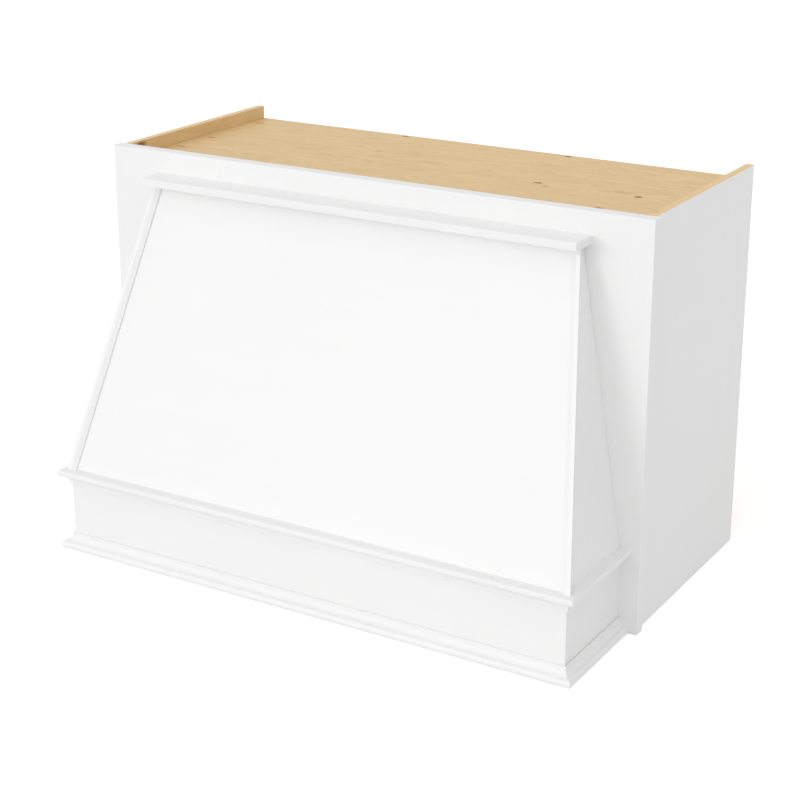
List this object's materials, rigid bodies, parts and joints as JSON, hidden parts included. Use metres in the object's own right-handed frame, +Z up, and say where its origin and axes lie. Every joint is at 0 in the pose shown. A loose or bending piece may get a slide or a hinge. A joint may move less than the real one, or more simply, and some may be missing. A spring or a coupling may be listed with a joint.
{
  "type": "range hood cover",
  "caption": "Painted wooden range hood cover: a sloping canopy and straight apron with mouldings and a cap, on a cabinet box with a face frame that hangs on the wall",
  "frame": {"origin": "middle of the bottom edge, on the wall's surface", "axes": "+X along the wall, towards the right as seen from the room; +Y into the wall; +Z up"},
  "size_m": [0.9144, 0.5715, 0.6096],
  "materials": {
    "white_paint": "white satin paint on wood",
    "natural_maple": "clear matt finish",
    "steel": "zinc plated"
  },
  "bodies": {
    "root": {"apron_front": "white_paint", "apron_left": "white_paint", "apron_right": "white_paint", "apron_screws": "steel", "bottom_moulding_front": "white_paint", "bottom_moulding_left": "white_paint", "bottom_moulding_right": "white_paint", "canopy_panel": "white_paint", "cap_board": "white_paint", "cap_screws": "steel", "cheek_screws": "steel", "corner_block_screws": "steel", "frame_pocket_screws": "steel", "front_base_cleat": "natural_maple", "front_liner_rail": "natural_maple", "front_top_cleat": "natural_maple", "head_cleat": "natural_maple", "left_apron_rail": "natural_maple", "left_base_cleat": "natural_maple", "left_cheek": "white_paint", "left_cheek_cleat": "natural_maple", "left_corner_block": "natural_maple", "left_corner_trim": "white_paint", "left_liner_rail": "natural_maple", "left_panel_cleat": "natural_maple", "left_side_panel": "white_paint", "left_stile": "white_paint", "left_stile_block": "natural_maple", "left_top_cleat": "natural_maple", "liner_rail_screws": "steel", "lower_hanging_rail": "natural_maple", "mid_moulding_front": "white_paint", "mid_moulding_left": "white_paint", "mid_moulding_right": "white_paint", "rail_pocket_screws": "steel", "right_apron_rail": "natural_maple", "right_base_cleat": "natural_maple", "right_cheek": "white_paint", "right_cheek_cleat": "natural_maple", "right_corner_block": "natural_maple", "right_corner_trim": "white_paint", "right_liner_rail": "natural_maple", "right_panel_cleat": "natural_maple", "right_side_panel": "white_paint", "right_stile": "white_paint", "right_stile_block": "natural_maple", "right_top_cleat": "natural_maple", "top_panel": "natural_maple", "top_panel_staples": "steel", "top_rail": "white_paint", "upper_hanging_rail": "natural_maple"}
  },
  "joints": []
}
